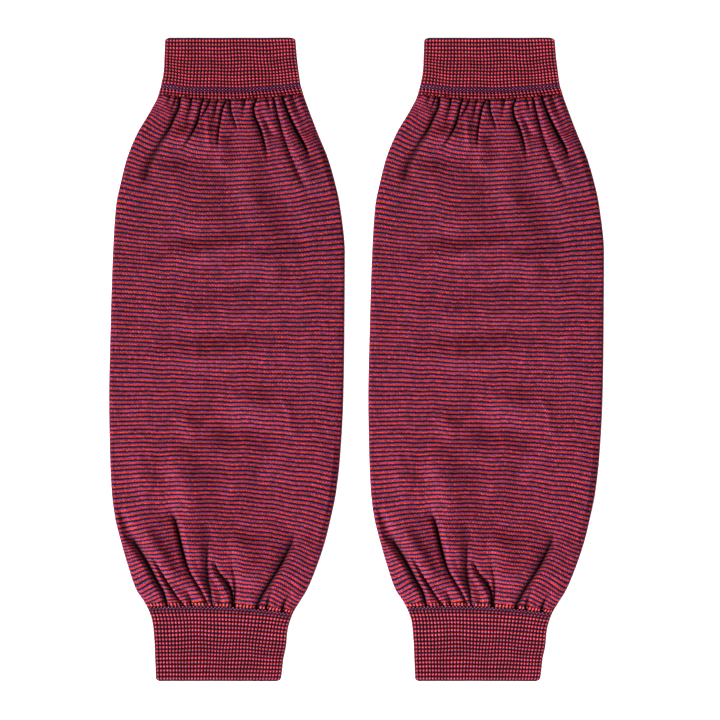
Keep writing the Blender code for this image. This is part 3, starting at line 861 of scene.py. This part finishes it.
def cuff_tube(seam, mouth, table):
    """A cuff's mesh, worked out from the seam to the mouth and kept in the order up the sleeve."""
    kinds, ups, parts, knit_rows = (np.array(values) for values in zip(*cuff_lines(table)))
    from_seam = ups[:, None] / (ups[-1] + RIM_HEIGHT)
    inward = 1 if mouth < seam["mid"] else -1
    centre = float(middle_of(mouth))
    columns = RIBS_ROUND * COLUMNS_PER_RIB

    def stations(share):
        start = seam_station(seam, share) - inward * CUFF_SEAM_GAP
        return start + (mouth - start) * from_seam

    front = layer_points(stations, np.linspace(-1, 1, CUFF_FINE_ACROSS + 1)[None], pillow)
    under_share = np.linspace(1, -1, CUFF_FINE_ACROSS + 1)[None, 1:]
    under = layer_points(stations, under_share, lambda share, station: 0 * station)
    grid = even_along(tube_rings(stations, CUFF_SIDE_COLUMNS, front, under), columns, 1)[:, :-1]
    surface = cuff_surface(grid, -inward * grid_normals(grid), kinds, parts, from_seam)
    outer = np.concatenate([surface, cuff_rim(surface[-1], grid[-1], centre, inward)])
    picks = np.linspace(0, len(grid) - 1, LINING_LINES).round().astype(int)
    lining = cuff_lining(grid[picks])
    lining[-1, :, 1] = outer[-1, :, 1] + inward * LINING_START
    for layer in (outer, lining):
        from_mouth = np.clip(np.abs(layer[..., 1] - mouth), 0.0, MOUTH_CORNER)
        cut = MOUTH_CORNER - np.sqrt(MOUTH_CORNER**2 - (MOUTH_CORNER - from_mouth) ** 2)
        aside = layer[..., 0] - centre
        layer[..., 0] -= aside / np.abs(aside).max() * cut
    purple = np.array([BEAD_KINDS[kind] for kind in (*kinds, *kinds[-1:].repeat(RIM_STEPS))])
    rim_rows = knit_rows[-1] + 0.5 * np.arange(1, RIM_STEPS + 1) / RIM_STEPS
    knit_lines = [np.concatenate([knit_rows, rim_rows]), knit_rows[picks], purple]
    knit_v, lining_v, purple = (line[::-inward, None].repeat(columns, 1) for line in knit_lines)
    bake_u = bake_columns(column_widths(grid), grid[..., 2].mean(0) > 0.2)
    ribs = np.arange(columns + 1) / COLUMNS_PER_RIB
    return Tube(outer[::-inward], lining[::-inward], ribs, (knit_v, lining_v), bake_u, {"purple": purple})


class Value:
    """A number or colour that a material's nodes work out, for use in plain sums."""

    def __init__(self, nodes, socket):
        self.nodes, self.socket = nodes, socket

    def __add__(self, other):
        return self.nodes.math("ADD", self, other)

    def __sub__(self, other):
        return self.nodes.math("SUBTRACT", self, other)

    def __rsub__(self, other):
        return self.nodes.math("SUBTRACT", other, self)

    def __mul__(self, other):
        return self.nodes.math("MULTIPLY", self, other)

    def __truediv__(self, other):
        return self.nodes.math("DIVIDE", self, other)

    def __pow__(self, other):
        return self.nodes.math("POWER", self, other)

    def __abs__(self):
        return self.nodes.math("ABSOLUTE", self)


class Nodes:
    """Short ways to write a material's maths."""

    def __init__(self, name):
        self.material = bpy.data.materials.new(name)
        self.material.use_nodes = True
        self.tree = self.material.node_tree
        self.shader = self.tree.nodes["Principled BSDF"]

    def add(self, kind, **settings):
        node = self.tree.nodes.new(kind)
        for key, value in settings.items():
            setattr(node, key, value)
        return node

    def join(self, value, socket):
        if isinstance(value, Value):
            self.tree.links.new(value.socket, socket)
        elif isinstance(value, tuple):
            socket.default_value = (*value, 1.0)
        else:
            socket.default_value = value

    def math(self, operation, *values):
        node = self.add("ShaderNodeMath", operation=operation)
        for value, socket in zip(values, node.inputs):
            self.join(value, socket)
        return Value(self, node.outputs[0])

    def fraction(self, value):
        return self.math("FRACT", value)

    def whole(self, value):
        return self.math("FLOOR", value)

    def blend(self, share, low, high, mode="MIX"):
        node = self.add("ShaderNodeMix", data_type="RGBA", blend_type=mode)
        for value, socket in zip((share, low, high), (node.inputs["Factor"], *node.inputs[6:8])):
            self.join(value, socket)
        return Value(self, node.outputs[2])

    def dimmed(self, colour, factors, share):
        """The colour times the factors where the share is 0, and as it is where it is 1."""
        return self.blend(share, self.blend(1.0, colour, factors, "MULTIPLY"), colour)

    def ramp(self, value, stops):
        """A colour between stops: place, red, green and blue."""
        node = self.add("ShaderNodeValToRGB")
        ramp = node.color_ramp
        while len(ramp.elements) < len(stops):
            ramp.elements.new(0.5)
        for element, (at, *colour) in zip(ramp.elements, stops):
            element.position = at
            element.color = (*colour, 1.0)
        self.join(value, node.inputs[0])
        return Value(self, node.outputs[0])

    def smooth(self, value, low, high):
        node = self.add("ShaderNodeMapRange", interpolation_type="SMOOTHSTEP")
        for part, socket in zip((value, low, high), node.inputs):
            self.join(part, socket)
        return Value(self, node.outputs[0])

    def noise(self, vector, scale, detail=2.0):
        node = self.add("ShaderNodeTexNoise")
        node.inputs["Scale"].default_value = scale
        node.inputs["Detail"].default_value = detail
        self.join(vector, node.inputs["Vector"])
        return Value(self, node.outputs[0])

    def cell(self, u, v):
        """A random value for each stitch or row, from its whole-number place."""
        place = self.add("ShaderNodeCombineXYZ")
        self.join(u, place.inputs[0])
        self.join(v, place.inputs[1])
        node = self.add("ShaderNodeTexWhiteNoise", noise_dimensions="2D")
        self.tree.links.new(place.outputs[0], node.inputs["Vector"])
        return Value(self, node.outputs["Value"])

    def attribute(self, name):
        return Value(self, self.add("ShaderNodeAttribute", attribute_name=name).outputs["Fac"])

    def knit_map(self):
        """The knit map's vector and its two parts: wales or ribs across, rows along."""
        vector = Value(self, self.add("ShaderNodeUVMap", uv_map="Knit").outputs[0])
        parts = self.add("ShaderNodeSeparateXYZ")
        self.join(vector, parts.inputs[0])
        return vector, Value(self, parts.outputs[0]), Value(self, parts.outputs[1])

    def scaled(self, vector, across, along):
        node = self.add("ShaderNodeVectorMath", operation="MULTIPLY")
        self.join(vector, node.inputs[0])
        node.inputs[1].default_value = (across, along, 1.0)
        return Value(self, node.outputs[0])

    def finish(self, colour, height, strength, distance):
        """Ends a knit's material: its colour, the yarn's bump and a dull cloth's shine."""
        bump = self.add("ShaderNodeBump")
        bump.inputs["Strength"].default_value = strength
        bump.inputs["Distance"].default_value = distance
        self.join(height, bump.inputs["Height"])
        self.join(colour, self.shader.inputs["Base Color"])
        self.tree.links.new(bump.outputs[0], self.shader.inputs["Normal"])
        return self.shine(CLOTH_SHINE)

    def shine(self, settings):
        """Sets the shader's own inputs and gives the material."""
        for name, value in settings.items():
            self.shader.inputs[name].default_value = value
        return self.material


# Inputs of the shader for the dull cloth and for the floor
CLOTH_SHINE = {
    "Roughness": 0.75,
    "Specular IOR Level": 0.1,
    "Sheen Weight": 0.02,
    "Sheen Roughness": 0.5,
    "Metallic": 0.0,
}
FLOOR_SHINE = {
    "Base Color": (0.93, 0.93, 0.93, 1.0),
    "Emission Color": (1.0, 1.0, 1.0, 1.0),
    "Emission Strength": 0.85,
    "Roughness": 0.9,
    "Specular IOR Level": 0.1,
}


def from_screen(red, green, blue):
    """A screen colour from 0 to 255 as the linear colour that Blender takes."""

    def channel(value):
        value = value / 255
        return value / 12.92 if value <= 0.04045 else ((value + 0.055) / 1.055) ** 2.4

    return channel(red), channel(green), channel(blue)


# One repeat of the body's stripe: place in the repeat and screen colour. The near-black stops, in the
# groove between cords, are painted shade over the navy yarn
STRIPES_AND_GROOVE_SHADE = (
    (0.00, 2, 2, 6),
    (0.10, 10, 4, 6),
    (0.17, 140, 26, 16),
    (0.25, 250, 58, 38),
    (0.42, 255, 60, 54),
    (0.54, 214, 58, 94),
    (0.65, 142, 76, 150),
    (0.76, 76, 70, 150),
    (0.85, 18, 24, 56),
    (0.91, 2, 2, 6),
)

# Painted shading of the body from the wrist seam to the upper one, darker toward the upper end as if lit
# most at the wrist: share of the way, shading factor
BODY_PAINTED_SHADING = ((0.0, 1.0), (0.5, 0.87), (0.84, 0.77), (1.0, 0.95))


def seam_dots(nodes, colour):
    """The row of red dots where the body meets the wrist cuff, one on each rib, with painted shade
    between.
    """
    past = nodes.attribute("past_wrist")
    across = (nodes.fraction(nodes.attribute("rib")) - 0.5) / 0.27
    along = (past - 0.62) / 0.34
    dot = 1.0 - nodes.smooth(across**2.0 + along**2.0, 0.4, 1.3)
    # Painted shade: near black between the dots
    dots = nodes.blend(dot, from_screen(6, 1, 5), from_screen(236, 62, 66))
    return nodes.blend(1.0 - nodes.smooth(past, 1.0, 1.25), colour, dots)


def striped_knit():
    """Cross stripes of red, magenta, purple and navy with near-black painted shade, a repeat a unit of v.
    """
    nodes = Nodes("striped_knit")
    uv, u, v = nodes.knit_map()
    wander = (nodes.noise(uv, 0.9) - 0.5) * 0.22
    leg = abs(nodes.fraction(u) - 0.5)
    level = v + wander - leg * 0.2
    phase = nodes.fraction(level)
    colour = nodes.ramp(phase, [(at, *from_screen(*screen)) for at, *screen in STRIPES_AND_GROOVE_SHADE])
    lean = u + phase * 0.45
    notch = nodes.smooth(abs(nodes.fraction(lean) - 0.5), 0.26, 0.5)
    # Painted shade: the gaps between stitch columns are darkened
    colour = nodes.blend(notch * 0.36, colour, from_screen(22, 6, 14))
    stitch = nodes.cell(nodes.whole(lean), nodes.whole(level * 2.0))
    colour = nodes.dimmed(colour, (0.48, 0.46, 0.52), stitch)
    yarn = nodes.noise(nodes.scaled(uv, 1.68, 2.55), 1.65)
    colour = nodes.dimmed(colour, (0.29, 0.27, 0.35), nodes.smooth(yarn, 0.38, 0.62))
    streak = nodes.noise(nodes.scaled(uv, 0.13, 2.0), 1.0, detail=1.0)
    colour = nodes.dimmed(colour, (0.84, 0.84, 0.86), nodes.smooth(streak, 0.40, 0.60))
    patch = nodes.noise(nodes.scaled(uv, 1.68, 2.55), 0.11, detail=3.0)
    colour = nodes.dimmed(colour, (0.93, 0.93, 0.93), nodes.smooth(patch, 0.30, 0.70))
    # Painted shading: the colour is darkened along the sleeve by this ramp
    painted_shading = nodes.ramp(v / float(STRIPE_REPEATS), [(at, painted_shading, painted_shading, painted_shading) for at, painted_shading in BODY_PAINTED_SHADING])
    colour = nodes.blend(1.0, colour, painted_shading, "MULTIPLY")
    colour = seam_dots(nodes, colour)
    # Painted shade: the colour is blended toward near black along the deep crease cuts
    colour = nodes.blend(nodes.attribute("painted_crease_shade") * 0.92, colour, from_screen(10, 3, 7))
    cord = nodes.math("SINE", phase * math.pi)
    return nodes.finish(colour, cord * 0.7 - notch * 0.4 + yarn * 0.5, strength=0.5, distance=0.0003)


def rib_knit():
    """Leaning red beads on each rib with painted pink highlights, over navy, with grooves painted dark as
    shade.
    """
    nodes = Nodes("rib_knit")
    uv, u, v = nodes.knit_map()
    purple = nodes.attribute("purple")
    violet_row = nodes.smooth(purple, 0.7, 0.9)
    across = nodes.fraction(u) - 0.5
    up = nodes.fraction(v) - 0.5
    yarn = nodes.noise(uv, 5.0, detail=3.0)
    jitter = (yarn - 0.5) * 0.10

    lean = across + up * BEAD_LEAN + jitter
    away = nodes.math("SQRT", abs(lean / 0.415) ** 2.0 + abs(up / 0.335) ** 2.0)
    large = 1.0 - nodes.smooth(away, 0.62, 1.06)
    waves = nodes.math("SINE", u * (2 * math.pi)) * nodes.math("SINE", v * (2 * math.pi))
    fine = nodes.smooth(waves + jitter, 0.15, 0.6)
    bead = large * (1.0 - violet_row) + fine * violet_row

    # Painted highlight: each bead is painted pinker toward its upper left
    painted_highlight = nodes.smooth(up * 1.6 - across, -0.30, 0.55)
    red = nodes.blend(painted_highlight, from_screen(226, 41, 32), from_screen(243, 96, 124))
    violet = nodes.blend(painted_highlight, from_screen(196, 66, 100), from_screen(172, 104, 186))
    bead_colour = nodes.blend(violet_row, red, violet)
    rib_line = 1.0 - nodes.smooth(abs(across), 0.16, 0.40)
    top_patch = nodes.smooth(up, 0.14, 0.36) * rib_line * (1.0 - violet_row * 0.6)
    # Painted shade: dark red in the grooves between ribs and near black between beads along a rib; the
    # navy patch above each bead is the purple yarn
    ground = nodes.blend(rib_line, from_screen(50, 2, 10), from_screen(6, 3, 16))
    ground = nodes.blend(top_patch, ground, from_screen(54, 32, 84))
    colour = nodes.blend(bead, ground, bead_colour)

    dim_row = (1.0 - abs(purple * 2.0 - 1.0)) * 0.45
    colour = nodes.blend(dim_row, colour, from_screen(40, 6, 12))
    colour = nodes.dimmed(colour, (0.44, 0.45, 0.51), nodes.smooth(yarn, 0.30, 0.70))
    colour = nodes.dimmed(colour, (0.73, 0.73, 0.76), nodes.cell(3.0, nodes.whole(v)))
    patch = nodes.smooth(nodes.noise(uv, 0.22), 0.35, 0.65)
    colour = nodes.dimmed(colour, (0.78, 0.78, 0.82), patch)
    return nodes.finish(colour, bead * 0.6 + yarn * 0.5, strength=0.4, distance=0.00025)


# What each piece is cut to in metres, round and along, and its material's slot
PIECES = {
    "body": {"flat": (0.286, 0.310), "slot": "striped_knit"},
    "upper_cuff": {"flat": (0.164, 0.038), "slot": "rib_knit"},
    "wrist_cuff": {"flat": (0.158, 0.046), "slot": "rib_knit"},
}


def put_in_scene(name, data):
    """An object made of some data, in the scene."""
    made = bpy.data.objects.new(name, data)
    bpy.context.scene.collection.objects.link(made)
    return made


def make_sleeves():
    finishes = {"striped_knit": striped_knit(), "rib_knit": rib_knit()}
    meshes = {
        "body": body_tube().mesh("body_knit"),
        "upper_cuff": cuff_tube(UPPER_SEAM, LENGTH, UPPER_ROWS).mesh("upper_cuff_knit"),
        "wrist_cuff": cuff_tube(WRIST_SEAM, 0.0, WRIST_ROWS).mesh("wrist_cuff_knit"),
    }
    for label, facts in PIECES.items():
        meshes[label].materials.append(finishes[facts["slot"]])
    for side, way in (("left", -1), ("right", 1)):
        for label, facts in PIECES.items():
            mesh = meshes[label] if way < 0 else meshes[label].copy()
            piece = put_in_scene(f"{side}_{label}_knit", mesh)
            piece.location = (way * PAIR_PITCH / 2 * MM, -LENGTH / 2 * MM, 0.0)
            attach(piece, "root")
            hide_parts(f"{side}_{label}")


def make_floor():
    """A plain pale floor just below the sleeves, bright enough to show as white."""
    half = 3.0
    mesh = bpy.data.meshes.new("floor")
    corners = [(-half, -half, 0.0), (half, -half, 0.0), (half, half, 0.0), (-half, half, 0.0)]
    mesh.from_pydata(corners, [], [(0, 1, 2, 3)])
    floor = put_in_scene("floor", mesh)
    floor.location.z = -0.0002
    mesh.materials.append(Nodes("pale_floor").shine(FLOOR_SHINE))


def add_sun(name, azimuth, elevation, strength, softness):
    """A distant soft light; its azimuth is counted from +X toward +Y."""
    light = bpy.data.lights.new(name, "SUN")
    light.energy = strength
    light.angle = math.radians(softness)
    lamp = put_in_scene(name, light)
    turn, rise = math.radians(azimuth), math.radians(elevation)
    toward = Vector((math.cos(turn) * math.cos(rise), math.sin(turn) * math.cos(rise), math.sin(rise)))
    lamp.location = 2.0 * toward
    lamp.rotation_euler = toward.to_track_quat("Z", "Y").to_euler()


def make_lights():
    add_sun("key", azimuth=220.0, elevation=23.0, strength=9.9, softness=18.0)
    add_sun("fill", azimuth=-25.0, elevation=34.0, strength=1.5, softness=40.0)
    world = bpy.data.worlds.new("studio")
    bpy.context.scene.world = world
    world.use_nodes = True
    background = world.node_tree.nodes["Background"]
    background.inputs["Color"].default_value = (1.0, 1.0, 1.0, 1.0)
    background.inputs["Strength"].default_value = 0.32


def make_camera():
    """Straight overhead, with the photo's frame of 432 mm across at the table."""
    data = bpy.data.cameras.new("camera")
    camera = put_in_scene("camera", data)
    height, frame_width, sensor = 3.2, 0.432, 36.0
    data.sensor_width = sensor
    data.lens = sensor * height / frame_width
    data.clip_start = 0.1
    data.clip_end = 20.0
    camera.location = (0.0021, -0.0003, height)
    bpy.context.scene.camera = camera


bpy.context.scene.view_settings.view_transform = "Standard"
make_sleeves()
make_floor()
make_lights()
make_camera()
